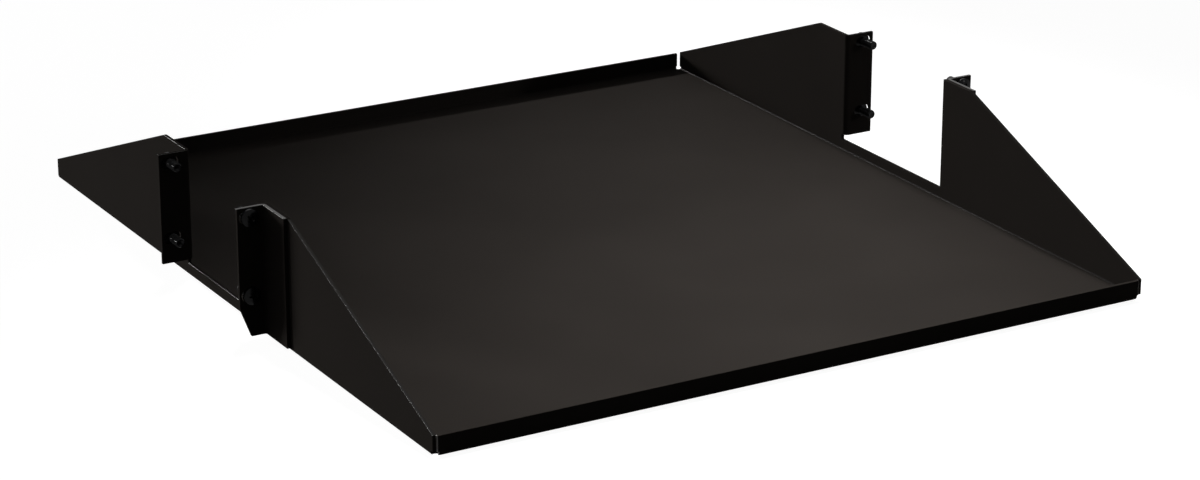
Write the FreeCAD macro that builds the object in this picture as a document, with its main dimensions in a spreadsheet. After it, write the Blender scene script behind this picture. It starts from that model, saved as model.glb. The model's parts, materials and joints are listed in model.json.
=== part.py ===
import FreeCAD, Part
import math
import os
import Sketcher
from FreeCAD import Vector

# Shelf for a two-post 19-inch rack, carried at its middle. The pan is one folded sheet whose rear
# ears bear on the back of the posts. Two brackets lapped on its front gussets bear on their front.
# +Z is up, X runs across the rack and Y from the front of the shelf to the back. The origin is on
# the underside of the floor, at the middle of its width and depth. Sizes are in millimetres.

SIZES = (
    ("pan_width", "444.5", "outside to outside of the side walls"),
    ("sheet_thick", "2.0", "sheet of the pan and of the brackets"),
    ("bend_radius", "1.0", "inside radius of every fold"),
    ("front_reach", "192.8", "front lip to the mating face of the front ears"),
    ("post_gap", "101.6", "mating face of the front ears to that of the rear ears"),
    ("rear_reach", "200.9", "mating face of the rear ears to the rear lip"),
    ("lip_height", "11.7", "front and rear lips, from the underside"),
    ("side_lip", "8.2", "side walls between the gussets, from the underside"),
    ("front_flat", "28.0", "level top of a front gusset, and the leg of its bracket"),
    ("rear_flat", "32.0", "level top of a rear gusset, from the mating face of its ear"),
    ("peak_radius", "6.0", "gusset corner where its slope meets its level top"),
    ("crook_radius", "1.5", "inner corner between a front gusset and the side lip"),
    ("corner_gap", "1.1", "end of a lip or side wall to the face that it meets"),
    ("front_gap", "0.4", "end of the front lip to the gusset beside it, above the folds"),
    ("front_setback", "0.8", "front lip to the front end of a gusset, above the folds"),
    ("relief_radius", "2.0", "relief hole at each corner of the floor"),
    ("ear_gap", "3.2", "side lip to the foot of a rear ear"),
    ("ear_relief", "0.6", "notch past the fold of a rear ear"),
    ("gusset_setback", "0.5", "mating face of a bracket to the rear edge of its gusset"),
    ("ear_edge", "6.7", "hole centre to the tip of an ear"),
    ("low_row", "26.2", "lower row of holes, from the underside"),
    ("row_spacing", "44.45", "lower row of holes to the upper row"),
    ("row_drop", "5.55", "upper row of holes to the top of the ears"),
    ("bracket_foot", "2.2", "underside of the floor to the foot of a bracket"),
    ("cut_width", "6.5", "cut lower corner of a bracket's ear, across"),
    ("cut_height", "17.0", "cut lower corner of a bracket's ear, up"),
    ("screw_diameter", "5.49", "thread of a mounting screw"),
    ("screw_length", "12.7", "mounting screw under its head"),
    ("neck_diameter", "4.8", "plain neck between the head and the thread"),
    ("neck_length", "2.1", "plain neck, from the seat of the head"),
    ("point_chamfer", "0.6", "chamfer at the point of a mounting screw"),
    ("head_diameter", "10.0", "pan head of a mounting screw"),
    ("head_height", "3.4", "pan head, from its seat to its crown"),
    ("head_rim", "2.2", "upright rim of a pan head"),
    ("head_room", "2.3", "fold of a bracket to the rim of a screw's head"),
    ("slot_clearance", "0.65", "thread of a screw to the side of its slot"),
    ("slot_travel", "4.4", "sideways adjustment in a slot"),
)

THICK = "Sizes.sheet_thick"
INSIDE = "Sizes.bend_radius"
OUTSIDE = f"({INSIDE} + {THICK})"

WALL_OUT = "(Sizes.pan_width / 2)"
WALL_IN = f"({WALL_OUT} - {THICK})"
WALL_TOP = "(Sizes.low_row + Sizes.row_spacing + Sizes.row_drop)"
LIP_OUT = "((Sizes.front_reach + Sizes.post_gap + Sizes.rear_reach) / 2)"
LIP_IN = f"({LIP_OUT} - {THICK})"
LIP_END = f"({WALL_IN} - Sizes.corner_gap)"
WALL_END = f"({LIP_IN} - Sizes.corner_gap)"
FRONT_LIP_END = f"({WALL_IN} - Sizes.front_gap)"
FRONT_WALL_END = f"({LIP_OUT} - Sizes.front_setback)"

FRONT_FACE = f"(Sizes.front_reach - {LIP_OUT})"
REAR_FACE = f"({FRONT_FACE} + Sizes.post_gap)"
GAP_MIDDLE = f"({FRONT_FACE} + Sizes.post_gap / 2)"
FRONT_FLAT_START = f"({FRONT_FACE} - Sizes.front_flat)"
FRONT_GUSSET_END = f"({FRONT_FACE} - Sizes.gusset_setback)"
REAR_GUSSET_START = f"({REAR_FACE} + {OUTSIDE})"
REAR_NOTCH_END = f"({REAR_GUSSET_START} + Sizes.ear_relief)"
REAR_FLAT_END = f"({REAR_FACE} + Sizes.rear_flat)"
EAR_FOOT = "(Sizes.side_lip + Sizes.ear_gap)"

HOLE_ACROSS = f"({WALL_OUT} + {OUTSIDE} + Sizes.head_room + Sizes.head_diameter / 2)"
HOLE_ROWS = ("Sizes.low_row", "(Sizes.low_row + Sizes.row_spacing)")
EAR_TIP = f"({HOLE_ACROSS} + Sizes.ear_edge)"
SLOT_RADIUS = "(Sizes.screw_diameter / 2 + Sizes.slot_clearance)"

ORIGIN = LEVEL_AXIS = -1
UPRIGHT_AXIS = LEVEL_AXIS - 1
START, END, CENTRE = range(1, 4)
SAME_PLACE = 1e-4

doc = FreeCAD.newDocument("rack_shelf")


def make_sheet():
    """The driving sizes, one row each: what it is called, its value and what it measures."""
    sheet = doc.addObject("Spreadsheet::Sheet", "Sizes")
    for row, (alias, number, meaning) in enumerate(SIZES, 1):
        sheet.set(f"A{row}", alias)
        sheet.set(f"B{row}", number)
        sheet.setAlias(f"B{row}", alias)
        sheet.set(f"C{row}", meaning)
    doc.recompute()
    return sheet


sizes = make_sheet()


def value(expression):
    """The number that an expression over the sheet gives."""
    return float(sizes.evalExpression(expression))


def new_body(name):
    body = doc.addObject("PartDesign::Body", name)
    body.AllowCompound = True
    return body


def origin_feature(body, role):
    return next(item for item in body.Origin.OriginFeatures if item.Role == role)


def new_sketch(body, name, plane, offset=None):
    """A sketch on one of its body's origin planes, moved by (x, y, z) expressions in the plane's frame."""
    sketch = body.newObject("Sketcher::SketchObject", name)
    sketch.AttachmentSupport = [(origin_feature(body, plane), "")]
    sketch.MapMode = "FlatFace"
    for axis, expression in (offset or {}).items():
        sketch.setExpression(f".AttachmentOffset.Base.{axis}", expression)
    return sketch


def dimension(sketch, kind, *where, expression):
    """A dimension bound to the sheet."""
    index = sketch.addConstraint(Sketcher.Constraint(kind, *where, value(expression)))
    sketch.setExpression(f"Constraints[{index}]", expression)


def fold_outline(sketch, sides):
    """Closed outline of upright and level lines in turn, the first one upright. Each side is its
    distance from the sketch's origin, or None on an axis, and the radius at its end, or None."""
    count = len(sides)
    places = [0.0 if place is None else value(place) for place, _ in sides]
    radii = [0.0 if radius is None else value(radius) for _, radius in sides]
    corners = []
    for i in range(count):
        pair = (places[i], places[(i + 1) % count])
        across, up = pair if i % 2 == 0 else reversed(pair)
        corners.append(Vector(across, up, 0))
    ways = [(corners[i] - corners[i - 1]).normalize() for i in range(count)]

    lines = []
    for i, (place, _) in enumerate(sides):
        first = corners[i - 1] + ways[i] * radii[i - 1]
        last = corners[i] - ways[i] * radii[i]
        line = sketch.addGeometry(Part.LineSegment(first, last), False)
        upright = i % 2 == 0
        sketch.addConstraint(Sketcher.Constraint("Vertical" if upright else "Horizontal", line))
        if place is None:
            axis = UPRIGHT_AXIS if upright else LEVEL_AXIS
            sketch.addConstraint(Sketcher.Constraint("PointOnObject", line, START, axis))
        else:
            kind = "DistanceX" if upright else "DistanceY"
            dimension(sketch, kind, ORIGIN, 1, line, START, expression=place)
        lines.append(line)

    for i, (_, radius) in enumerate(sides):
        line, following = lines[i], lines[(i + 1) % count]
        if radius is None:
            sketch.addConstraint(Sketcher.Constraint("Coincident", line, END, following, START))
            continue
        way, next_way = ways[i], ways[(i + 1) % count]
        centre = corners[i] + (next_way - way) * radii[i]
        left_turn = way.cross(next_way).z > 0
        from_way = -next_way if left_turn else way
        from_angle = math.atan2(from_way.y, from_way.x)
        circle = Part.Circle(centre, Vector(0, 0, 1), radii[i])
        arc = sketch.addGeometry(Part.ArcOfCircle(circle, from_angle, from_angle + math.pi / 2), False)
        near, far = (START, END) if left_turn else (END, START)
        sketch.addConstraint(Sketcher.Constraint("Tangent", line, END, arc, near))
        sketch.addConstraint(Sketcher.Constraint("Tangent", arc, far, following, START))
        dimension(sketch, "Radius", arc, expression=radius)


def straight_outline(sketch, points):
    """Closed outline of straight lines through (across, up) points."""
    places = [Vector(value(across), value(up), 0) for across, up in points]
    lines = []
    for i, place in enumerate(places):
        following = places[(i + 1) % len(places)]
        lines.append(sketch.addGeometry(Part.LineSegment(place, following), False))
    for i, (across, up) in enumerate(points):
        sketch.addConstraint(Sketcher.Constraint("Coincident", lines[i - 1], END, lines[i], START))
        dimension(sketch, "DistanceX", ORIGIN, 1, lines[i], START, expression=across)
        dimension(sketch, "DistanceY", ORIGIN, 1, lines[i], START, expression=up)


def sketch_circle(sketch, centre, radius):
    circle = sketch.addGeometry(Part.Circle(centre, Vector(0, 0, 1), value(radius)), False)
    dimension(sketch, "Radius", circle, expression=radius)
    return circle


def slot_outline(sketch, across, up):
    """Level slot with round ends, centred on a hole's place."""
    radius = value(SLOT_RADIUS)
    height = value(up)
    ends = [f"({across} - Sizes.slot_travel / 2)", f"({across} + Sizes.slot_travel / 2)"]
    left, right = (Vector(value(end), height, 0) for end in ends)
    rise = Vector(0, radius, 0)
    arcs = []
    for centre, from_angle in ((left, math.pi / 2), (right, -math.pi / 2)):
        circle = Part.Circle(centre, Vector(0, 0, 1), radius)
        arcs.append(sketch.addGeometry(Part.ArcOfCircle(circle, from_angle, from_angle + math.pi), False))
    low = sketch.addGeometry(Part.LineSegment(left - rise, right - rise), False)
    top = sketch.addGeometry(Part.LineSegment(right + rise, left + rise), False)
    for first, second in ((arcs[0], low), (low, arcs[1]), (arcs[1], top), (top, arcs[0])):
        sketch.addConstraint(Sketcher.Constraint("Tangent", first, END, second, START))
    sketch.addConstraint(Sketcher.Constraint("Equal", *arcs))
    dimension(sketch, "Radius", arcs[0], expression=SLOT_RADIUS)
    for arc, end in zip(arcs, ends):
        dimension(sketch, "DistanceX", ORIGIN, 1, arc, CENTRE, expression=end)
        dimension(sketch, "DistanceY", ORIGIN, 1, arc, CENTRE, expression=up)


def pad(body, name, sketch, length, symmetric=False):
    feature = body.newObject("PartDesign::Pad", name)
    feature.Profile = sketch
    feature.SideType = "Symmetric" if symmetric else "One side"
    feature.setExpression("Length", length)
    doc.recompute()
    return feature


def pocket(body, name, sketch, length=None):
    """A cut through all on both sides of its sketch, or to a length on the sketch's upper side."""
    before = body.Shape.Volume
    feature = body.newObject("PartDesign::Pocket", name)
    feature.Profile = sketch
    if length is None:
        feature.Type = "ThroughAll"
        feature.SideType = "Symmetric"
    else:
        feature.Reversed = True
        feature.setExpression("Length", length)
    doc.recompute()
    if body.Shape.Volume >= before:
        raise RuntimeError(f"{name} removes nothing")
    return feature


def mirror(body, name, originals, plane):
    feature = body.newObject("PartDesign::Mirrored", name)
    feature.Originals = originals
    feature.MirrorPlane = (origin_feature(body, plane), [""])
    body.Tip = feature
    doc.recompute()
    return feature


def round_corners(body, name, places, radius):
    """Rounds the wall edges that run along X through (y, z) places."""
    base = body.Tip
    targets = [Vector(0, value(y), value(z)) for y, z in places]
    chosen = []
    for index, edge in enumerate(base.Shape.Edges, 1):
        ends = [Vector(0, vertex.Y, vertex.Z) for vertex in edge.Vertexes]
        for target in targets:
            if len(ends) == 2 and all(end.isEqual(target, SAME_PLACE) for end in ends):
                chosen.append(f"Edge{index}")
    feature = body.newObject("PartDesign::Fillet", name)
    feature.Base = (base, chosen)
    feature.setExpression("Radius", radius)
    doc.recompute()
    return feature


def side_walls(body):
    """The floor and side walls as one trough, with the walls cut to their gussets and side lips."""
    trough = new_sketch(body, "trough_profile", "XZ_Plane")
    fold_outline(trough, [
        (f"-{WALL_OUT}", OUTSIDE), (None, OUTSIDE),
        (WALL_OUT, None), (WALL_TOP, None),
        (WALL_IN, INSIDE), (THICK, INSIDE),
        (f"-{WALL_IN}", None), (WALL_TOP, None),
    ])
    pad(body, "trough", trough, f"2 * {WALL_END}", symmetric=True)

    end = new_sketch(body, "gusset_end_profile", "YZ_Plane", {"z": WALL_IN})
    straight_outline(end, [
        (f"-{FRONT_WALL_END}", OUTSIDE), (f"-({WALL_END} - {THICK})", OUTSIDE),
        (f"-({WALL_END} - {THICK})", WALL_TOP), (f"-{FRONT_WALL_END}", WALL_TOP),
    ])
    mirror(body, "gusset_ends", [pad(body, "gusset_end", end, THICK)], "YZ_Plane")

    cut = new_sketch(body, "wall_cut_profile", "YZ_Plane")
    front_peak = (FRONT_FLAT_START, WALL_TOP)
    rear_peak = (REAR_FLAT_END, WALL_TOP)
    crook = (FRONT_GUSSET_END, "Sizes.side_lip")
    straight_outline(cut, [(f"-{LIP_OUT}", "Sizes.lip_height"), front_peak, (f"-{LIP_OUT}", WALL_TOP)])
    straight_outline(cut, [
        (FRONT_GUSSET_END, WALL_TOP), crook,
        (REAR_NOTCH_END, "Sizes.side_lip"), (REAR_NOTCH_END, EAR_FOOT),
        (REAR_GUSSET_START, EAR_FOOT), (REAR_GUSSET_START, WALL_TOP),
    ])
    straight_outline(cut, [rear_peak, (LIP_OUT, "Sizes.lip_height"), (LIP_OUT, WALL_TOP)])
    pocket(body, "wall_cut", cut)
    round_corners(body, "gusset_peaks", [front_peak, rear_peak], "Sizes.peak_radius")
    round_corners(body, "gusset_crooks", [crook], "Sizes.crook_radius")


def end_lips(body):
    """Lips turned up at the front and rear, with round relief holes at their corners. The rear corners
    are open. The front ones nearly close above their folds."""
    profile = new_sketch(body, "lip_profile", "YZ_Plane")
    fold_outline(profile, [
        (f"-{LIP_OUT}", OUTSIDE), (None, None),
        (f"-({LIP_OUT} - 2 * {OUTSIDE})", None), (THICK, INSIDE),
        (f"-{LIP_IN}", None), ("Sizes.lip_height", None),
    ])
    front = pad(body, "front_lip", profile, f"2 * {LIP_END}", symmetric=True)
    mirror(body, "rear_lip", [front], "XZ_Plane")

    ends = new_sketch(body, "front_lip_ends_profile", "YZ_Plane")
    straight_outline(ends, [
        (f"-{LIP_OUT}", OUTSIDE), (f"-{LIP_IN}", OUTSIDE),
        (f"-{LIP_IN}", "Sizes.lip_height"), (f"-{LIP_OUT}", "Sizes.lip_height"),
    ])
    pad(body, "front_lip_ends", ends, f"2 * {FRONT_LIP_END}", symmetric=True)

    relief = new_sketch(body, "corner_reliefs_profile", "XY_Plane")
    for side in ("", "-"):
        for end in ("", "-"):
            across, along = side + LIP_END, end + WALL_END
            centre = Vector(value(across), value(along), 0)
            circle = sketch_circle(relief, centre, "Sizes.relief_radius")
            dimension(relief, "DistanceX", ORIGIN, 1, circle, CENTRE, expression=across)
            dimension(relief, "DistanceY", ORIGIN, 1, circle, CENTRE, expression=along)
    pocket(body, "corner_reliefs", relief, length=OUTSIDE)


def ear_slots(body):
    """One slot for each row of holes, through the ear on the right."""
    profile = new_sketch(body, "slots_profile", "XZ_Plane")
    for row in HOLE_ROWS:
        slot_outline(profile, HOLE_ACROSS, row)
    return pocket(body, "slots", profile)


def rear_ears(body):
    """Ears folded outwards at the front edge of the rear gussets."""
    profile = new_sketch(body, "rear_ear_profile", "XY_Plane", {"z": EAR_FOOT})
    fold_outline(profile, [
        (WALL_IN, OUTSIDE), (REAR_FACE, None),
        (EAR_TIP, None), (f"({REAR_FACE} + {THICK})", INSIDE),
        (WALL_OUT, None), (REAR_NOTCH_END, None),
    ])
    ear = pad(body, "rear_ear", profile, f"{WALL_TOP} - {EAR_FOOT}")
    mirror(body, "rear_ears", [ear, ear_slots(body)], "YZ_Plane")


def shelf_pan():
    body = new_body("shelf_pan")
    side_walls(body)
    end_lips(body)
    rear_ears(body)
    return body


def front_right_bracket():
    """Angle whose leg lies on the outside of the gusset and whose ear turns outwards behind it."""
    body = new_body("front_right_bracket")
    profile = new_sketch(body, "angle_profile", "XY_Plane", {"z": "Sizes.bracket_foot"})
    fold_outline(profile, [
        (WALL_OUT, None), (FRONT_FLAT_START, None),
        (f"({WALL_OUT} + {THICK})", INSIDE), (f"({FRONT_FACE} - {THICK})", None),
        (EAR_TIP, None), (FRONT_FACE, OUTSIDE),
    ])
    pad(body, "angle", profile, f"{WALL_TOP} - Sizes.bracket_foot")

    corner = new_sketch(body, "cut_corner_profile", "XZ_Plane")
    straight_outline(corner, [
        (f"({EAR_TIP} - Sizes.cut_width)", "Sizes.bracket_foot"),
        (EAR_TIP, "Sizes.bracket_foot"),
        (EAR_TIP, "(Sizes.bracket_foot + Sizes.cut_height)"),
    ])
    pocket(body, "cut_corner", corner)
    ear_slots(body)
    return body


def mirrored_bracket(name, bracket):
    other = doc.addObject("Part::Mirroring", name)
    other.Source = bracket
    other.Normal = Vector(1, 0, 0)
    doc.recompute()
    return other


def screw_profile(sketch):
    """Half of a pan-head screw, with its seat on the level axis and its axis upright."""
    thread, neck = value("Sizes.screw_diameter / 2"), value("Sizes.neck_diameter / 2")
    head, rim, crown = value("Sizes.head_diameter / 2"), value("Sizes.head_rim"), value("Sizes.head_height")
    shoulder, point = -value("Sizes.neck_length"), -value("Sizes.screw_length")
    chamfer = value("Sizes.point_chamfer")
    outline = [
        Vector(0, crown, 0), Vector(0, point, 0), Vector(thread - chamfer, point, 0),
        Vector(thread, point + chamfer, 0), Vector(thread, shoulder, 0), Vector(neck, shoulder, 0),
        Vector(neck, 0, 0), Vector(head, 0, 0), Vector(head, rim, 0),
    ]
    lines = [sketch.addGeometry(Part.LineSegment(a, b), False) for a, b in zip(outline, outline[1:])]
    axis, tip, slant, thread_side, step, neck_side, seat, edge = lines
    for first, second in zip(lines, lines[1:]):
        sketch.addConstraint(Sketcher.Constraint("Coincident", first, END, second, START))
    for line in (axis, thread_side, neck_side, edge):
        sketch.addConstraint(Sketcher.Constraint("Vertical", line))
    for line in (tip, step, seat):
        sketch.addConstraint(Sketcher.Constraint("Horizontal", line))

    dome_radius = (head ** 2 + (crown - rim) ** 2) / (2 * (crown - rim))
    circle = Part.Circle(Vector(0, crown - dome_radius, 0), Vector(0, 0, 1), dome_radius)
    edge_angle = math.asin((rim - crown + dome_radius) / dome_radius)
    dome = sketch.addGeometry(Part.ArcOfCircle(circle, edge_angle, math.pi / 2), False)
    sketch.addConstraint(Sketcher.Constraint("Coincident", edge, END, dome, START))
    sketch.addConstraint(Sketcher.Constraint("Coincident", dome, END, axis, START))
    sketch.addConstraint(Sketcher.Constraint("PointOnObject", dome, CENTRE, UPRIGHT_AXIS))
    sketch.addConstraint(Sketcher.Constraint("PointOnObject", axis, START, UPRIGHT_AXIS))
    sketch.addConstraint(Sketcher.Constraint("PointOnObject", seat, START, LEVEL_AXIS))

    dimension(sketch, "DistanceY", ORIGIN, 1, axis, START, expression="Sizes.head_height")
    dimension(sketch, "DistanceY", ORIGIN, 1, axis, END, expression="-Sizes.screw_length")
    dimension(sketch, "DistanceX", ORIGIN, 1, thread_side, START, expression="Sizes.screw_diameter / 2")
    dimension(sketch, "DistanceX", ORIGIN, 1, neck_side, START, expression="Sizes.neck_diameter / 2")
    dimension(sketch, "DistanceY", ORIGIN, 1, neck_side, START, expression="-Sizes.neck_length")
    dimension(sketch, "DistanceX", ORIGIN, 1, edge, START, expression="Sizes.head_diameter / 2")
    dimension(sketch, "DistanceY", edge, START, edge, END, expression="Sizes.head_rim")
    dimension(sketch, "DistanceX", slant, START, slant, END, expression="Sizes.point_chamfer")
    dimension(sketch, "DistanceY", slant, START, slant, END, expression="Sizes.point_chamfer")


def mounting_screws():
    """Screws seated on the outer side of each ear, with their threads in the gap for the posts."""
    body = new_body("mounting_screws")
    seat = {"x": HOLE_ACROSS, "y": f"{REAR_FACE} + {THICK}", "z": "Sizes.low_row"}
    profile = new_sketch(body, "screw_profile", "XY_Plane", seat)
    screw_profile(profile)
    screw = body.newObject("PartDesign::Revolution", "rear_right_screw")
    screw.Profile = profile
    screw.ReferenceAxis = (profile, ["V_Axis"])
    doc.recompute()

    middle = body.newObject("PartDesign::Plane", "middle_of_post_gap")
    middle.AttachmentSupport = [(origin_feature(body, "XZ_Plane"), "")]
    middle.MapMode = "FlatFace"
    middle.setExpression(".AttachmentOffset.Base.z", f"-{GAP_MIDDLE}")

    rows = body.newObject("PartDesign::LinearPattern", "rows")
    rows.Direction = (origin_feature(body, "Z_Axis"), [""])
    rows.Occurrences = len(HOLE_ROWS)
    rows.setExpression("Length", "Sizes.row_spacing")
    sides = body.newObject("PartDesign::Mirrored", "sides")
    sides.MirrorPlane = (origin_feature(body, "YZ_Plane"), [""])
    faces = body.newObject("PartDesign::Mirrored", "faces")
    faces.MirrorPlane = (middle, [""])
    group = body.newObject("PartDesign::MultiTransform", "screw_group")
    group.Originals = [screw]
    group.Transformations = [rows, sides, faces]
    body.Tip = group
    doc.recompute()
    return body


def check_document(pieces):
    """Stops if a feature failed or a piece's solids aren't sound."""
    for item in doc.Objects:
        if "Invalid" in item.State or "Error" in item.State:
            raise RuntimeError(f"{item.Label} failed: {item.State}")
    for piece in pieces:
        shape = piece.Shape
        if shape.isNull() or not shape.isValid() or not shape.Solids:
            raise RuntimeError(f"{piece.Label} has no sound solid")


def write_parts(pieces):
    os.makedirs("parts", exist_ok=True)
    for piece in pieces:
        piece.Shape.exportStep(os.path.join("parts", f"{piece.Label}.step"))
        print(piece.Label, len(piece.Shape.Solids), "solids", round(piece.Shape.Volume), "mm3")


right_bracket = front_right_bracket()
sub_parts = [
    shelf_pan(),
    mirrored_bracket("front_left_bracket", right_bracket),
    right_bracket,
    mounting_screws(),
]
doc.recompute()
check_document(sub_parts)
write_parts(sub_parts)
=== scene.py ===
import json
import math
from collections import namedtuple
from contextlib import contextmanager

import bmesh
import bpy
from bpy.props import FloatProperty, FloatVectorProperty, PointerProperty
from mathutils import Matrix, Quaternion, Vector


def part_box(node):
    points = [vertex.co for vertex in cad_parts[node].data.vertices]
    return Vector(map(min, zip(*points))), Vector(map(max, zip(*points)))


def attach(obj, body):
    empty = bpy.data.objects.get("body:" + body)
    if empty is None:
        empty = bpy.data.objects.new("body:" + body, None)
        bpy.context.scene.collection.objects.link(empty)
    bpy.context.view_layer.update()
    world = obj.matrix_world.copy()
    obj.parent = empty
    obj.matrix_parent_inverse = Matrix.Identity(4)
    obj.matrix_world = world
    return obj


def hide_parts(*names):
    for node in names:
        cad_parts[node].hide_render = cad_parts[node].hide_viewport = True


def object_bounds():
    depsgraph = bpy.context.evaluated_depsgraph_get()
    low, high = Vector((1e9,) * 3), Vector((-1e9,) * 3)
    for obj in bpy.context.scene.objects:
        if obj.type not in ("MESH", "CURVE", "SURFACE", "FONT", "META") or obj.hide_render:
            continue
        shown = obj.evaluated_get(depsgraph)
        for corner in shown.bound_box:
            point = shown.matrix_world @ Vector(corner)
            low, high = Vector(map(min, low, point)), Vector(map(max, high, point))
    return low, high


bl_info = {
    "name": "Centre-Mount Rack Shelf",
    "version": (1, 0, 0),
    "blender": (4, 5, 0),
    "location": "View3D > Sidebar > Rack Shelf",
    "description": "Coats the folded shelf, models its rack screws and sets up a white studio",
    "category": "Object",
}

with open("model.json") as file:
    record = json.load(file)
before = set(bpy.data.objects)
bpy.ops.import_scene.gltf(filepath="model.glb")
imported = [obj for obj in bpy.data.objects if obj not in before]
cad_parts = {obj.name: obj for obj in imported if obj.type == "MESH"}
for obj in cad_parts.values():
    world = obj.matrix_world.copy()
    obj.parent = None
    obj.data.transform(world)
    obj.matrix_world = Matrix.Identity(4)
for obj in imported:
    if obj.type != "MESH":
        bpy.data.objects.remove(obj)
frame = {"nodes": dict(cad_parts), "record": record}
CAD_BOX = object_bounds()

MM = 0.001
INCH = 25.4 * MM
UPRIGHT = (0, 0, 1)
NODE_SPACING = 200

# Sizes of the sheet, read from the frame
MOUNTS = {mount["name"]: mount for mount in frame["record"]["mounts"]}
SHEET_THICK = MOUNTS["load_floor"]["pos_m"][2]
WALL_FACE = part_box("front_right_bracket")[0].x
EAR_FACE = MOUNTS["front_right_ear_face"]["pos_m"][1]

# Sizes of the screws, read from the frame. All are alike, and a front one is measured.
SCREW_MOUNTS = [mount for mount in MOUNTS.values() if mount["kind"] == "pin"]
SCREWS_LOW, SCREWS_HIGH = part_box("mounting_screws")
THREAD = MOUNTS["front_left_lower_screw"]
THREAD_RADIUS = THREAD["dims"]["r_mm"] * MM
THREAD_LENGTH = THREAD["dims"]["length_mm"] * MM
SEAT_FACE = EAR_FACE - SHEET_THICK
HEAD_RADIUS = SCREWS_HIGH.z - max(mount["pos_m"][2] for mount in SCREW_MOUNTS)
HEAD_HEIGHT = SEAT_FACE - SCREWS_LOW.y
NECK_LENGTH = THREAD["pos_m"][1] - THREAD_LENGTH / 2 - SEAT_FACE

# Clean-up of a mesh and rounding of its edges
MERGE_DISTANCE = 0.001 * MM
FLAT_ANGLE = math.radians(1)
SHARP_ANGLE = math.radians(50)
EDGE_SEGMENTS = 2
LARGE_FACE_WEIGHT = 60

# Coats of the sheet, one material slot each. The colour is the name of a setting of RackShelfSheet.
Coat = namedtuple("Coat", "material colour roughness specular grainy")
FACE_COAT = Coat("black_powder_coat", "coat_colour", roughness=0.6, specular=0.002, grainy=True)
RIM_COAT = Coat("glossy_rim", "rim_colour", roughness=0.2, specular=0.11, grainy=False)
SATIN_COAT = Coat("satin_rim", "rim_colour", roughness=0.3, specular=0.012, grainy=False)
# Level tops keep the face coat's grain and gloss but take a darker colour. This is painted shade on the
# level tops of the side walls and behind the brackets.
PAINTED_SHADE_COAT = Coat("dull_rim", "top_colour", roughness=0.6, specular=0.002, grainy=True)
# The ends of the front lip take a near-white colour. This is a painted highlight, not bare steel.
PAINTED_HIGHLIGHT_COAT = Coat("worn_rim", "end_colour", roughness=0.5, specular=0.1, grainy=True)
COATS = (FACE_COAT, RIM_COAT, SATIN_COAT, PAINTED_SHADE_COAT, PAINTED_HIGHLIGHT_COAT)

# Shares of a face's unit normal that tell which way the face looks. A slight share doesn't count.
SLIGHT = 0.1
LIP_END = 0.3
FOLD_LOW, FOLD_HIGH = 0.4, 0.98
LEVEL = 0.99

# Sprayed finishes. A scale is in patches to the metre, and a spread goes to both sides of the middle.
GRAIN_SIZE = 0.55 * MM
SPECK_SCALE = 420
DRIFT_SCALE = 9
TONE_SPREAD = 0.2
GLOSS_SPREAD = 0.07

# Shape of a screw. The point's rings are radius and hollow, as shares of the core's radius.
ROUND_SIDES = 48
DOME_STEPS = 10
POINT_RINGS = ((0.8, 0), (0.5, 0.15))
TURNS_PER_INCH = 24
FLANK_ANGLE = math.radians(30)
RIDGE_SUNK = 0.1 * MM
ENVELOPE_SHARE = 1.1
RECESS_TAPER = 0.4
RECESS_OVERLAP = 0.3 * MM
SMOOTH_ANGLE = math.radians(32)
GOLDEN_TURN = math.pi * (3 - math.sqrt(5))

# Studio. A beam is a full angle in degrees, and the power is the name of a setting of RackShelfStage.
Lamp = namedtuple("Lamp", "name place target beam radius power")
LAMPS = (
    Lamp("key_beam", (0.21, 2.31, 1.50), (0.172, -0.083, 0), beam=9, radius=0.20, power="key_power"),
    Lamp("top_beam", (0.22, 0.30, 1.60), (-0.10, -0.30, 0), beam=24, radius=0.20, power="top_power"),
    Lamp("side_beam", (-2.485, 4.44, 0.62), (-0.30, 0.20, 0.04), beam=17, radius=0.75, power="side_power"),
    Lamp("ear_beam", (1.20, -1.50, 0.60), (0.24, 0.045, 0.055), beam=5, radius=0.20, power="ear_power"),
)
SENSOR_WIDTH = 36
PAPER_SIZE = 24
PAPER_GLOW = 0.95
DIM_PAPER = (0.04, 0.04, 0.04, 1)
WHITE = (1, 1, 1, 1)
AMBIENT_LIGHT = 0.05


class RackShelfSheet(bpy.types.PropertyGroup):
    """Finish of the folded sheet"""

    edge_round: FloatProperty(
        name="Edge Rounding", description="Radius that the coat leaves on a cut edge",
        default=0.2 * MM, min=0.01 * MM, max=0.8 * MM, unit="LENGTH", precision=5)
    coat_colour: FloatVectorProperty(
        name="Coat", description="Powder coat on the faces of the sheet",
        default=(0.030, 0.0262, 0.0235), min=0, max=1, subtype="COLOR")
    rim_colour: FloatVectorProperty(
        name="Rim", description="Smooth coat that runs over the rims and into the side folds",
        default=(0.022, 0.0198, 0.0182), min=0, max=1, subtype="COLOR")
    # Painted shade: this darker colour stands in for the shade on the level tops of the side walls. It is
    # not a thinner coat.
    top_colour: FloatVectorProperty(
        name="Level Tops", description="Thin coat on the level tops of the side walls",
        default=(0.012, 0.0105, 0.0095), min=0, max=1, subtype="COLOR")
    # Painted highlight: this near-white colour makes the ends of the front lip show as a bright line. It
    # is not bare steel.
    end_colour: FloatVectorProperty(
        name="Lip Ends", description="Ends of the front lip, worn to the bare steel",
        default=(0.80, 0.77, 0.75), min=0, max=1, subtype="COLOR")
    grain_size: FloatProperty(
        name="Grain Size", description="Width of one grain in the coat",
        default=GRAIN_SIZE, min=0.05 * MM, unit="LENGTH", precision=5)
    grain_depth: FloatProperty(
        name="Grain Depth", description="Height of the grains in the coat",
        default=0.03 * MM, min=0, unit="LENGTH", precision=6)


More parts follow.
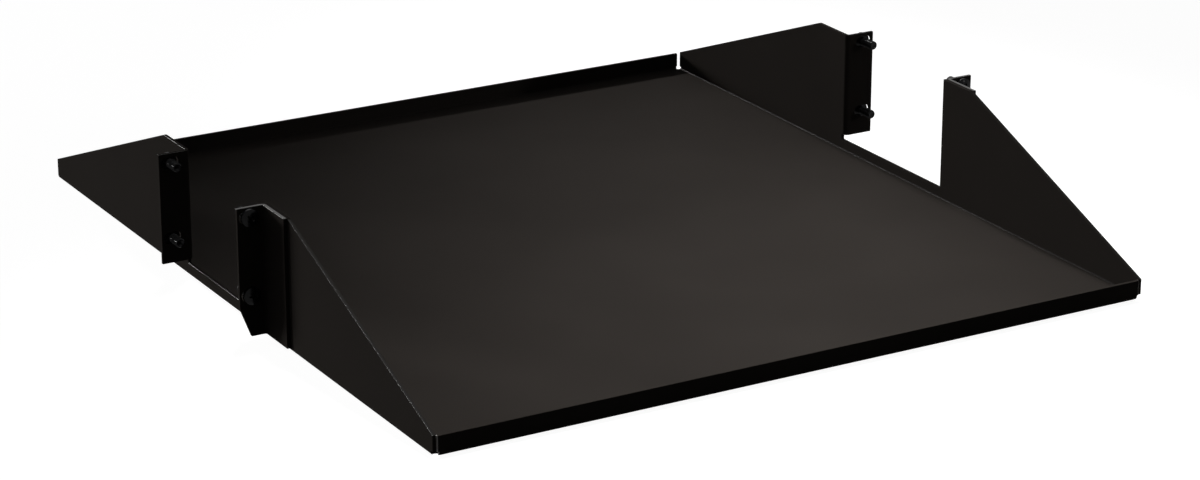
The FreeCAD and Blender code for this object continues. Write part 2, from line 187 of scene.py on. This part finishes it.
class RackShelfScrews(bpy.types.PropertyGroup):
    """Sizes and finish of the rack screws"""

    head_rim: FloatProperty(
        name="Head Rim", description="Upright rim under the dome of a head",
        default=2.2 * MM, min=0.1 * MM, unit="LENGTH", precision=5)
    neck_diameter: FloatProperty(
        name="Neck Diameter", description="Plain neck between the head and the thread",
        default=4.8 * MM, min=1 * MM, unit="LENGTH", precision=5)
    point_chamfer: FloatProperty(
        name="Point Chamfer", description="Chamfer past the thread, at the point of a screw",
        default=0.6 * MM, min=0.1 * MM, unit="LENGTH", precision=5)
    core_diameter: FloatProperty(
        name="Core Diameter", description="Bottom of the thread",
        default=4.29 * MM, min=1 * MM, unit="LENGTH", precision=5)
    pitch: FloatProperty(
        name="Pitch", description="Length of one turn of the thread",
        default=INCH / TURNS_PER_INCH, min=0.2 * MM, unit="LENGTH", precision=5)
    crest: FloatProperty(
        name="Crest", description="Width of the flat on top of the thread",
        default=0.14 * MM, min=0.01 * MM, unit="LENGTH", precision=5)
    recess_span: FloatProperty(
        name="Recess Span", description="Cross recess from tip to tip of its wings",
        default=5.6 * MM, min=1 * MM, unit="LENGTH", precision=5)
    recess_width: FloatProperty(
        name="Recess Width", description="Width of a wing of the recess at the top",
        default=1.3 * MM, min=0.2 * MM, unit="LENGTH", precision=5)
    recess_depth: FloatProperty(
        name="Recess Depth", description="Depth of the recess below the crown",
        default=2.2 * MM, min=0.2 * MM, unit="LENGTH", precision=5)
    colour: FloatVectorProperty(
        name="Black Oxide", description="Blackened steel of the screws",
        default=(0.008, 0.008, 0.009), min=0, max=1, subtype="COLOR")


class RackShelfStage(bpy.types.PropertyGroup):
    """Camera, lamps and floor"""

    azimuth: FloatProperty(
        name="Azimuth", description="Turn of the camera round the shelf, from straight in front",
        default=math.radians(-30.12), subtype="ANGLE")
    elevation: FloatProperty(
        name="Elevation", description="Height of the camera above the horizon",
        default=math.radians(20.061), subtype="ANGLE")
    roll: FloatProperty(
        name="Roll", description="Turn of the camera about its line of sight",
        default=math.radians(0.085), subtype="ANGLE")
    distance: FloatProperty(
        name="Distance", description="Camera to the point that it aims at",
        default=2.1178, min=0.1, unit="LENGTH")
    aim: FloatVectorProperty(
        name="Aim", description="Point on the floor that the camera aims at",
        default=(0.0094, -0.0137, 0), subtype="TRANSLATION")
    lens: FloatProperty(
        name="Focal Length", description="Focal length in millimetres on a 36 mm sensor",
        default=109.26, min=10, unit="CAMERA")
    floor_colour: FloatVectorProperty(
        name="Floor", description="Paper under and behind the shelf",
        default=(0.3, 0.3, 0.3), min=0, max=1, subtype="COLOR")
    key_power: FloatProperty(
        name="Key Beam", description="Power of the lamp high behind the right side",
        default=765, min=0, unit="POWER")
    top_power: FloatProperty(
        name="Top Beam", description="Power of the lamp above the right side",
        default=128, min=0, unit="POWER")
    side_power: FloatProperty(
        name="Side Beam", description="Power of the low lamp behind the left side",
        default=1400, min=0, unit="POWER")
    ear_power: FloatProperty(
        name="Ear Beam", description="Power of the narrow lamp in front of the rear right ear",
        default=110, min=0, unit="POWER")


def check_free(name):
    """Raises an error if there is an object of this name, so that nothing is made twice."""
    if name in bpy.data.objects:
        raise RuntimeError(f"{name} has been made already")


def only(obj):
    """Makes obj the one selected object."""
    bpy.ops.object.select_all(action="DESELECT")
    obj.select_set(True)
    bpy.context.view_layer.objects.active = obj


@contextmanager
def edit_mode(obj, select="DESELECT"):
    """Edit mode on obj alone, with none of its faces selected at first, or all of them."""
    only(obj)
    bpy.ops.object.mode_set(mode="EDIT")
    bpy.ops.mesh.select_mode(type="FACE")
    bpy.ops.mesh.select_all(action=select)
    yield
    bpy.ops.object.mode_set(mode="OBJECT")


def add_shape(add, scale=(1, 1, 1), **settings):
    """Adds a primitive by itself, and puts its place, turn and scale into its mesh."""
    bpy.ops.object.select_all(action="DESELECT")
    add(**settings)
    shape = bpy.context.object
    shape.scale = scale
    bpy.ops.object.transform_apply(location=True, rotation=True, scale=True)
    return shape


def apply_modifier(obj, kind, **settings):
    """Adds a modifier to obj with these settings, and applies it."""
    only(obj)
    bpy.ops.object.modifier_add(type=kind)
    modifier = obj.modifiers[-1]
    for name, value in settings.items():
        setattr(modifier, name, value)
    bpy.ops.object.modifier_apply(modifier=modifier.name)


def cut(piece, cutter, operation="DIFFERENCE"):
    """Cuts a piece with another, which is used up."""
    apply_modifier(piece, "BOOLEAN", operation=operation, object=cutter, solver="EXACT")
    bpy.data.objects.remove(cutter)


def join(pieces):
    """Joins pieces into the first of them, with their places put into its mesh."""
    only(pieces[0])
    for piece in pieces:
        piece.select_set(True)
    bpy.ops.object.transform_apply(location=True, rotation=True, scale=True)
    bpy.ops.object.join()
    return pieces[0]


def add_node(tree, kind, place, **inputs):
    """A node at (column, row), with the inputs that keep one value set by their names."""
    node = tree.nodes.new(kind)
    node.location = place[0] * NODE_SPACING, place[1] * -NODE_SPACING
    for name, value in inputs.items():
        node.inputs[name.replace("_", " ")].default_value = value
    return node


def grain_group():
    """Shader group: the fine grain of a sprayed finish, its specks and its slow drift of tone."""
    name = "sprayed_grain"
    if name in bpy.data.node_groups:
        return bpy.data.node_groups[name]
    tree = bpy.data.node_groups.new(name, "ShaderNodeTree")
    sockets = tree.interface
    size = sockets.new_socket("Grain Size", in_out="INPUT", socket_type="NodeSocketFloat")
    size.default_value = GRAIN_SIZE
    for output in ("Height", "Speck", "Drift"):
        sockets.new_socket(output, in_out="OUTPUT", socket_type="NodeSocketFloat")

    inside = add_node(tree, "NodeGroupInput", (0, 0))
    place = add_node(tree, "ShaderNodeTexCoord", (0, 1))
    scale = add_node(tree, "ShaderNodeMath", (1, 0))
    scale.operation = "DIVIDE"
    scale.inputs[0].default_value = 1
    grain = add_node(tree, "ShaderNodeTexNoise", (2, 0), Detail=2.5, Roughness=0.55)
    speck = add_node(tree, "ShaderNodeTexNoise", (2, 1), Scale=SPECK_SCALE, Detail=3, Roughness=0.7)
    drift = add_node(tree, "ShaderNodeTexNoise", (2, 2), Scale=DRIFT_SCALE, Detail=2, Roughness=0.45)
    outside = add_node(tree, "NodeGroupOutput", (3, 0))
    link = tree.links.new
    link(inside.outputs["Grain Size"], scale.inputs[1])
    link(scale.outputs["Value"], grain.inputs["Scale"])
    for noise, output in ((grain, "Height"), (speck, "Speck"), (drift, "Drift")):
        link(place.outputs["Object"], noise.inputs["Vector"])
        link(noise.outputs["Fac"], outside.inputs[output])
    return tree


def sprayed_material(name, colour, roughness, specular, grain_size, grain_depth):
    """A finish whose tone drifts, whose gloss varies from speck to speck and whose grain stands out."""
    material = bpy.data.materials.new(name)
    material.use_nodes = True
    material.diffuse_color = (*colour, 1)
    tree = material.node_tree
    shader = tree.nodes["Principled BSDF"]
    shader.inputs["Specular IOR Level"].default_value = specular
    grain = add_node(tree, "ShaderNodeGroup", (-4, 0))
    grain.node_tree = grain_group()
    grain.inputs["Grain Size"].default_value = grain_size

    tone = add_node(tree, "ShaderNodeMix", (-2, 0))
    tone.data_type = "RGBA"
    tone.inputs["A"].default_value = (*[part * (1 - TONE_SPREAD) for part in colour], 1)
    tone.inputs["B"].default_value = (*[part * (1 + TONE_SPREAD) for part in colour], 1)
    gloss = add_node(
        tree, "ShaderNodeMapRange", (-2, 1),
        To_Min=roughness - GLOSS_SPREAD, To_Max=roughness + GLOSS_SPREAD)
    relief = add_node(tree, "ShaderNodeBump", (-2, 2), Strength=1, Distance=grain_depth)
    link = tree.links.new
    link(grain.outputs["Drift"], tone.inputs["Factor"])
    link(tone.outputs["Result"], shader.inputs["Base Color"])
    link(grain.outputs["Speck"], gloss.inputs["Value"])
    link(gloss.outputs["Result"], shader.inputs["Roughness"])
    link(grain.outputs["Height"], relief.inputs["Height"])
    link(relief.outputs["Normal"], shader.inputs["Normal"])
    return material


def coat_material(coat, sheet):
    """The material of a coat of the sheet, made where it is first needed."""
    if coat.material in bpy.data.materials:
        return bpy.data.materials[coat.material]
    colour = getattr(sheet, coat.colour)
    depth = sheet.grain_depth if coat.grainy else 0
    return sprayed_material(
        coat.material, colour, coat.roughness, coat.specular, sheet.grain_size, depth)


def oxide_material(sizes):
    """Blackened steel: smooth, with a fine grain that hardly stands out."""
    return sprayed_material(
        "black_oxide_steel", sizes.colour, roughness=0.22, specular=0.07,
        grain_size=0.25 * MM, grain_depth=0.002 * MM)


def coat_at(place, normal):
    """The coat on a face of the sheet, by the face's place and the way it looks.

    Slopes and side folds are satin. Level tops, and the tops behind the brackets, are darkened with
    painted shade. The ends of the front lip carry a painted highlight, and the other rims are glossy.
    """
    across = abs(place.x)
    if across < WALL_FACE - 2 * SHEET_THICK:
        return FACE_COAT

    outwards = normal.x * math.copysign(1, place.x)
    looks_inwards = outwards < -SLIGHT
    by_the_floor = place.z < 2 * SHEET_THICK
    if by_the_floor and looks_inwards and FOLD_LOW < normal.z < FOLD_HIGH:
        return SATIN_COAT
    # The ends of the front lip get the near-white colour of a painted highlight.
    on_front_lip = across < WALL_FACE - SHEET_THICK and place.y < CAD_BOX[0].y + SHEET_THICK
    if on_front_lip and outwards > LIP_END:
        return PAINTED_HIGHLIGHT_COAT
    if by_the_floor or looks_inwards or normal.z < SLIGHT:
        return FACE_COAT

    # What is left looks upwards: the rims of the ears, walls and brackets
    if across > WALL_FACE + SHEET_THICK:
        return RIM_COAT
    # Level tops, and the tops where the pan meets the brackets, get the darker colour of painted shade.
    behind_bracket = across < WALL_FACE and place.y < 0 and place.z > CAD_BOX[1].z - SHEET_THICK / 2
    if behind_bracket or normal.z > LEVEL:
        return PAINTED_SHADE_COAT
    return SATIN_COAT if abs(outwards) < SLIGHT else RIM_COAT


def coat_faces(piece):
    """Gives every face of a sheet the coat that belongs to its place."""
    mesh = bmesh.from_edit_mesh(piece.data)
    for face in mesh.faces:
        face.material_index = COATS.index(coat_at(face.calc_center_median(), face.normal))
    bmesh.update_edit_mesh(piece.data)


def coated_sheet(node, name, sheet):
    """Makes the sheet of a CAD node anew, with rounded edges and its coats."""
    check_free(name)
    if node not in frame["nodes"]:
        raise RuntimeError(f"The frame has no node {node}")
    piece = bpy.data.objects.new(name, frame["nodes"][node].data.copy())
    bpy.context.scene.collection.objects.link(piece)
    piece.data.materials.clear()
    for coat in COATS:
        piece.data.materials.append(coat_material(coat, sheet))
    only(piece)
    bpy.ops.mesh.customdata_custom_splitnormals_clear()

    with edit_mode(piece, select="SELECT"):
        # The CAD mesh is loose triangles, so they become whole faces before the edges are found
        bpy.ops.mesh.remove_doubles(threshold=MERGE_DISTANCE)
        bpy.ops.mesh.dissolve_limited(angle_limit=FLAT_ANGLE)
        bpy.ops.mesh.select_mode(type="EDGE")
        bpy.ops.mesh.select_all(action="DESELECT")
        bpy.ops.mesh.edges_select_sharp(sharpness=SHARP_ANGLE)
        bpy.ops.mesh.bevel(
            offset=sheet.edge_round, segments=EDGE_SEGMENTS, affect="EDGES", clamp_overlap=False)
        coat_faces(piece)

    # Weighted normals keep the large faces flat beside their rounded edges
    bpy.ops.object.shade_smooth()
    apply_modifier(piece, "WEIGHTED_NORMAL", keep_sharp=False, weight=LARGE_FACE_WEIGHT)

    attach(piece, "root")
    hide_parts(node)


def select_end(obj, up):
    """Selects the face at the top of obj, or at the bottom where up is -1."""
    mesh = bmesh.from_edit_mesh(obj.data)
    end = max(mesh.faces, key=lambda face: up * face.calc_center_median().z)
    for face in mesh.faces:
        face.select_set(face is end)
    bmesh.update_edit_mesh(obj.data)


def turn_end(obj, rings, up):
    """Extrudes an end face of a turned piece through rings, each a radius and a height."""
    select_end(obj, up)
    mesh = bmesh.from_edit_mesh(obj.data)
    start = next(face for face in mesh.faces if face.select).verts[0].co
    radius, height = start.xy.length, start.z
    for next_radius, next_height in rings:
        bpy.ops.mesh.extrude_region_move(TRANSFORM_OT_translate={"value": (0, 0, next_height - height)})
        share = next_radius / radius
        bpy.ops.transform.resize(value=(share, share, 1), center_override=(0, 0, next_height))
        radius, height = next_radius, next_height


def turned_blank(radius, depth, middle):
    """A cylinder about Z, from which a turned piece starts."""
    return add_shape(
        bpy.ops.mesh.primitive_cylinder_add, vertices=ROUND_SIDES,
        radius=radius, depth=depth, location=(0, 0, middle))


def screw_length(sizes):
    """Length of a screw from the seat of its head to its point."""
    return NECK_LENGTH + THREAD_LENGTH + sizes.point_chamfer


def dome_rings(sizes):
    """Rings of the head's dome, a round cap from the upright rim to the crown."""
    rise = HEAD_HEIGHT - sizes.head_rim
    dome_radius = (HEAD_RADIUS ** 2 + rise ** 2) / (2 * rise)
    dome_angle = math.asin(HEAD_RADIUS / dome_radius)
    rings = []
    for step in range(1, DOME_STEPS):
        angle = dome_angle * (1 - step / DOME_STEPS)
        drop = dome_radius * (1 - math.cos(angle))
        rings.append((dome_radius * math.sin(angle), HEAD_HEIGHT - drop))
    return rings


def shank_rings(sizes):
    """Rings of the neck, the core and the hollow point, from the seat of the head downwards."""
    neck = sizes.neck_diameter / 2
    core = sizes.core_diameter / 2
    end = -screw_length(sizes)
    rings = [(neck, 0), (neck, -NECK_LENGTH), (core, -NECK_LENGTH - (neck - core)), (core, end)]
    for share, hollow in POINT_RINGS:
        rings.append((share * core, end + hollow * core))
    return rings


def screw_blank(sizes):
    """Domed head, neck and core, turned about Z with the head's seat at the origin."""
    blank = turned_blank(HEAD_RADIUS, sizes.head_rim, sizes.head_rim / 2)
    with edit_mode(blank):
        turn_end(blank, dome_rings(sizes), up=1)
        turn_end(blank, shank_rings(sizes), up=-1)
    return blank


def recess_wing(sizes, turn):
    """Tapered bar that cuts two opposite wings of the cross recess."""
    top = HEAD_HEIGHT + RECESS_OVERLAP
    depth = sizes.recess_depth + RECESS_OVERLAP
    wing = add_shape(
        bpy.ops.mesh.primitive_cube_add, scale=(sizes.recess_span, sizes.recess_width, depth),
        size=1, location=(0, 0, top - depth / 2), rotation=(0, 0, turn))
    with edit_mode(wing):
        select_end(wing, up=-1)
        bpy.ops.transform.resize(
            value=(RECESS_TAPER, RECESS_TAPER, 1), center_override=(0, 0, top - depth))
    return wing


def thread_envelope(sizes):
    """Room that the thread may fill, coned down to the core under the neck and at the point."""
    core = sizes.core_diameter / 2
    wide = THREAD_RADIUS * ENVELOPE_SHARE
    end = -screw_length(sizes)
    envelope = turned_blank(wide, THREAD_LENGTH / 2, -NECK_LENGTH - THREAD_LENGTH / 2)
    with edit_mode(envelope):
        turn_end(envelope, [(wide, -NECK_LENGTH - (wide - core)), (core, -NECK_LENGTH)], up=1)
        turn_end(envelope, [(wide, end + wide - core), (core, end)], up=-1)
    return envelope


def thread_ridge(sizes):
    """The thread as a wound ridge, run out under the neck and chamfered at the point."""
    core = sizes.core_diameter / 2
    depth = THREAD_RADIUS - core
    foot = sizes.crest + 2 * depth * math.tan(FLANK_ANGLE)
    # The profile's foot is sunk in the core, so that no gap opens between the two
    ridge = add_shape(
        bpy.ops.mesh.primitive_plane_add, scale=(depth + RIDGE_SUNK, foot, 1), size=1,
        location=((THREAD_RADIUS + core - RIDGE_SUNK) / 2, 0, -NECK_LENGTH), rotation=(math.pi / 2, 0, 0))
    with edit_mode(ridge):
        bpy.ops.mesh.select_mode(type="VERT")
        mesh = bmesh.from_edit_mesh(ridge.data)
        for vertex in mesh.verts:
            vertex.select_set(vertex.co.x > core)
        bmesh.update_edit_mesh(ridge.data)
        bpy.ops.transform.resize(
            value=(1, 1, sizes.crest / foot), center_override=(THREAD_RADIUS, 0, -NECK_LENGTH))

    turns = math.ceil(screw_length(sizes) / sizes.pitch)
    apply_modifier(
        ridge, "SCREW", screw_offset=-sizes.pitch, iterations=turns,
        steps=ROUND_SIDES, render_steps=ROUND_SIDES)
    with edit_mode(ridge, select="SELECT"):
        bpy.ops.mesh.remove_doubles(threshold=MERGE_DISTANCE)
        bpy.ops.mesh.normals_make_consistent(inside=False)
    cut(ridge, thread_envelope(sizes), operation="INTERSECT")
    return ridge


def rack_screw(sizes):
    """One finished screw at the origin, with its head upwards."""
    screw = screw_blank(sizes)
    for turn in (0, math.pi / 2):
        cut(screw, recess_wing(sizes, turn))
    join([screw, thread_ridge(sizes)])
    bpy.ops.object.shade_smooth_by_angle(angle=SMOOTH_ANGLE)
    screw.data.materials.clear()
    screw.data.materials.append(oxide_material(sizes))
    return screw


def seated_copy(pattern, mount, turn):
    """A copy of the pattern screw in the slot of a mount, turned about its own axis."""
    screw = bpy.data.objects.new(mount["name"], pattern.data.copy())
    bpy.context.scene.collection.objects.link(screw)
    towards_point = Vector(mount["axis"])
    screw.location = Vector(mount["pos_m"]) - towards_point * (THREAD_LENGTH / 2 + NECK_LENGTH)
    screw.rotation_mode = "QUATERNION"
    screw.rotation_quaternion = (-towards_point).to_track_quat("Z", "X") @ Quaternion(UPRIGHT, turn)
    return screw


class RACKSHELF_OT_pan(bpy.types.Operator):
    """Round the edges of the folded pan and powder-coat it"""

    bl_idname = "rack_shelf.pan"
    bl_label = "Coat the Pan"

    def execute(self, context):
        coated_sheet("shelf_pan", "pan_sheet", context.scene.rack_shelf_sheet)
        return {"FINISHED"}


class RACKSHELF_OT_brackets(bpy.types.Operator):
    """Round the edges of the two front brackets and powder-coat them"""

    bl_idname = "rack_shelf.brackets"
    bl_label = "Coat the Brackets"

    def execute(self, context):
        for side in ("left", "right"):
            coated_sheet(f"front_{side}_bracket", f"{side}_bracket_sheet", context.scene.rack_shelf_sheet)
        return {"FINISHED"}


class RACKSHELF_OT_screws(bpy.types.Operator):
    """Model a pan-head rack screw and seat one in every slot"""

    bl_idname = "rack_shelf.screws"
    bl_label = "Seat the Screws"

    def execute(self, context):
        check_free("rack_screws")
        pattern = rack_screw(context.scene.rack_shelf_screws)
        # Each screw stops at another turn, as screws do that are driven home by hand
        screws = []
        for count, mount in enumerate(SCREW_MOUNTS):
            screws.append(seated_copy(pattern, mount, count * GOLDEN_TURN))
        bpy.data.objects.remove(pattern)
        piece = join(screws)
        piece.name = "rack_screws"
        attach(piece, "root")
        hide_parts("mounting_screws")
        return {"FINISHED"}


def seen_directly(tree, place):
    """A value that is 1 for what the camera sees, by itself or in a reflection or through glass."""
    path = add_node(tree, "ShaderNodeLightPath", place)
    result = path.outputs["Is Camera Ray"]
    for step, ray in enumerate(("Is Glossy Ray", "Is Transmission Ray"), 1):
        either = add_node(tree, "ShaderNodeMath", (place[0] + step, place[1]))
        either.operation = "MAXIMUM"
        tree.links.new(result, either.inputs[0])
        tree.links.new(path.outputs[ray], either.inputs[1])
        result = either.outputs["Value"]
    return result


def paper_material(colour):
    """White studio paper: it shows the shelf's shadow and throws little light back at the shelf."""
    material = bpy.data.materials.new("studio_paper")
    material.use_nodes = True
    tree = material.node_tree
    tree.nodes.clear()
    seen = seen_directly(tree, (-5, 0))
    tone = add_node(tree, "ShaderNodeMix", (-2, 0))
    tone.data_type = "RGBA"
    tone.inputs["A"].default_value = DIM_PAPER
    tone.inputs["B"].default_value = (*colour, 1)
    lift = add_node(tree, "ShaderNodeMath", (-2, 1))
    lift.operation = "MULTIPLY"
    lift.inputs[1].default_value = PAPER_GLOW
    matt = add_node(tree, "ShaderNodeBsdfDiffuse", (-1, 0))
    glow = add_node(tree, "ShaderNodeEmission", (-1, 1))
    both = add_node(tree, "ShaderNodeAddShader", (0, 0))
    end = add_node(tree, "ShaderNodeOutputMaterial", (1, 0))
    link = tree.links.new
    link(seen, tone.inputs["Factor"])
    link(seen, lift.inputs[0])
    link(tone.outputs["Result"], matt.inputs["Color"])
    link(lift.outputs["Value"], glow.inputs["Strength"])
    link(matt.outputs["BSDF"], both.inputs[0])
    link(glow.outputs["Emission"], both.inputs[1])
    link(both.outputs["Shader"], end.inputs["Surface"])
    return material


def lay_paper(stage):
    """Lays the studio paper under the shelf."""
    check_free("studio_floor")
    bpy.ops.object.select_all(action="DESELECT")
    bpy.ops.mesh.primitive_plane_add(size=PAPER_SIZE, location=(0, 0, CAD_BOX[0].z))
    floor = bpy.context.object
    floor.name = "studio_floor"
    floor.data.materials.append(paper_material(stage.floor_colour))


def white_world(scene):
    """White to the eye, and a faint even light on the shelf."""
    world = bpy.data.worlds.new("studio_white")
    scene.world = world
    world.use_nodes = True
    tree = world.node_tree
    tree.nodes.clear()
    seen = seen_directly(tree, (-5, 0))
    ambient = add_node(tree, "ShaderNodeBackground", (-1, 0), Color=WHITE, Strength=AMBIENT_LIGHT)
    white = add_node(tree, "ShaderNodeBackground", (-1, 1), Color=WHITE, Strength=1)
    choice = add_node(tree, "ShaderNodeMixShader", (0, 0))
    end = add_node(tree, "ShaderNodeOutputWorld", (1, 0))
    link = tree.links.new
    link(seen, choice.inputs["Fac"])
    link(ambient.outputs["Background"], choice.inputs[1])
    link(white.outputs["Background"], choice.inputs[2])
    link(choice.outputs["Shader"], end.inputs["Surface"])


def hang_lamp(lamp, power):
    """Hangs a round lamp whose beam fades out from its target."""
    bpy.ops.object.light_add(type="SPOT", location=lamp.place)
    spot = bpy.context.object
    spot.name = lamp.name
    spot.data.energy = power
    spot.data.shadow_soft_size = lamp.radius
    spot.data.spot_size = math.radians(lamp.beam)
    spot.data.spot_blend = 1
    spot.rotation_mode = "QUATERNION"
    spot.rotation_quaternion = (Vector(lamp.place) - Vector(lamp.target)).to_track_quat("Z", "Y")


def aim_camera(scene, stage):
    """Places the camera at the end of its line of sight and makes it the scene's own."""
    back = Vector((
        math.sin(stage.azimuth) * math.cos(stage.elevation),
        -math.cos(stage.azimuth) * math.cos(stage.elevation),
        math.sin(stage.elevation),
    ))
    bpy.ops.object.camera_add(location=Vector(stage.aim) + back * stage.distance)
    camera = bpy.context.object
    camera.name = "camera"
    camera.rotation_mode = "QUATERNION"
    camera.rotation_quaternion = back.to_track_quat("Z", "Y") @ Quaternion(UPRIGHT, stage.roll)
    camera.data.sensor_fit = "HORIZONTAL"
    camera.data.sensor_width = SENSOR_WIDTH
    camera.data.lens = stage.lens
    scene.camera = camera


class RACKSHELF_OT_stage(bpy.types.Operator):
    """Lay the white paper, hang the lamps and aim the camera"""

    bl_idname = "rack_shelf.stage"
    bl_label = "Set Up the Studio"

    def execute(self, context):
        stage = context.scene.rack_shelf_stage
        lay_paper(stage)
        white_world(context.scene)
        for lamp in LAMPS:
            hang_lamp(lamp, getattr(stage, lamp.power))
        aim_camera(context.scene, stage)
        context.scene.view_settings.view_transform = "Standard"
        return {"FINISHED"}


class RACKSHELF_PT_sidebar(bpy.types.Panel):
    """Steps and settings of the rack shelf"""

    bl_idname = "RACKSHELF_PT_sidebar"
    bl_label = "Rack Shelf"
    bl_space_type = "VIEW_3D"
    bl_region_type = "UI"
    bl_category = "Rack Shelf"

    def draw(self, context):
        for operator in OPERATORS:
            self.layout.operator(operator.bl_idname)
        for name in SETTINGS:
            group = getattr(context.scene, name)
            box = self.layout.box()
            for setting in group.__annotations__:
                box.prop(group, setting)


OPERATORS = (RACKSHELF_OT_pan, RACKSHELF_OT_brackets, RACKSHELF_OT_screws, RACKSHELF_OT_stage)
SETTINGS = {
    "rack_shelf_sheet": RackShelfSheet,
    "rack_shelf_screws": RackShelfScrews,
    "rack_shelf_stage": RackShelfStage,
}
CLASSES = (*SETTINGS.values(), *OPERATORS, RACKSHELF_PT_sidebar)


def register():
    """Registers the classes and hangs the settings on the scene."""
    for item in CLASSES:
        bpy.utils.register_class(item)
    for name, group in SETTINGS.items():
        setattr(bpy.types.Scene, name, PointerProperty(type=group))


def unregister():
    """Takes the settings off the scene and unregisters the classes."""
    for name in SETTINGS:
        delattr(bpy.types.Scene, name)
    for item in reversed(CLASSES):
        bpy.utils.unregister_class(item)


def main():
    """Makes the pieces and the studio in order."""
    register()
    bpy.ops.rack_shelf.pan()
    bpy.ops.rack_shelf.brackets()
    bpy.ops.rack_shelf.screws()
    bpy.ops.rack_shelf.stage()


if __name__ == "__main__":
    main()
